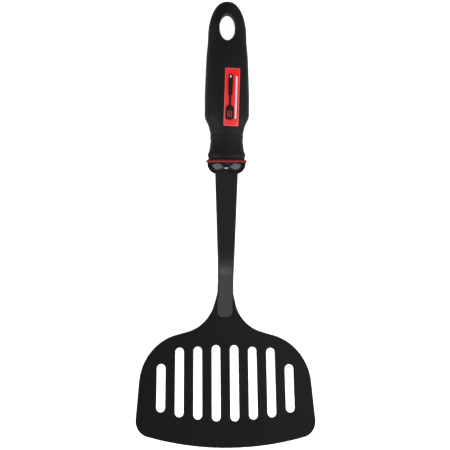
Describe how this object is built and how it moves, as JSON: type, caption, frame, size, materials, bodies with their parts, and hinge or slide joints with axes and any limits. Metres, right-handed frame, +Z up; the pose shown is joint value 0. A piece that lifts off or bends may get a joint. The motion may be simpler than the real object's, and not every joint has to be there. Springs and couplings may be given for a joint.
{
  "type": "slotted turner",
  "caption": "Long-handled slotted turner with a wide flared nylon head, a cranked shank, a bulb ferrule and a soft grip with a hang hole.",
  "frame": {"origin": "middle of the footprint of the tool lying face up, on the surface that it rests on", "axes": "+Z up, out of the face that carries the label; +Y along the tool towards the hang hole; +X to the right of the face, seen from above with the hang hole away from the viewer"},
  "size_m": [0.1316, 0.3238, 0.0536],
  "materials": {
    "blade_nylon": "satin moulded nylon",
    "ferrule_gloss": "polished",
    "ring_red": "satin",
    "core_plastic": "as moulded",
    "pin_steel": "ground",
    "grip_rubber": "fine matte",
    "label_red": "printed film"
  },
  "bodies": {
    "root": {"blade_and_shank": "blade_nylon", "ferrule": "ferrule_gloss", "accent_ring": "ring_red", "core_upper_half": "core_plastic", "core_lower_half": "core_plastic", "tang_pins": "pin_steel", "grip_sleeve": "grip_rubber", "label": "label_red"}
  },
  "joints": []
}
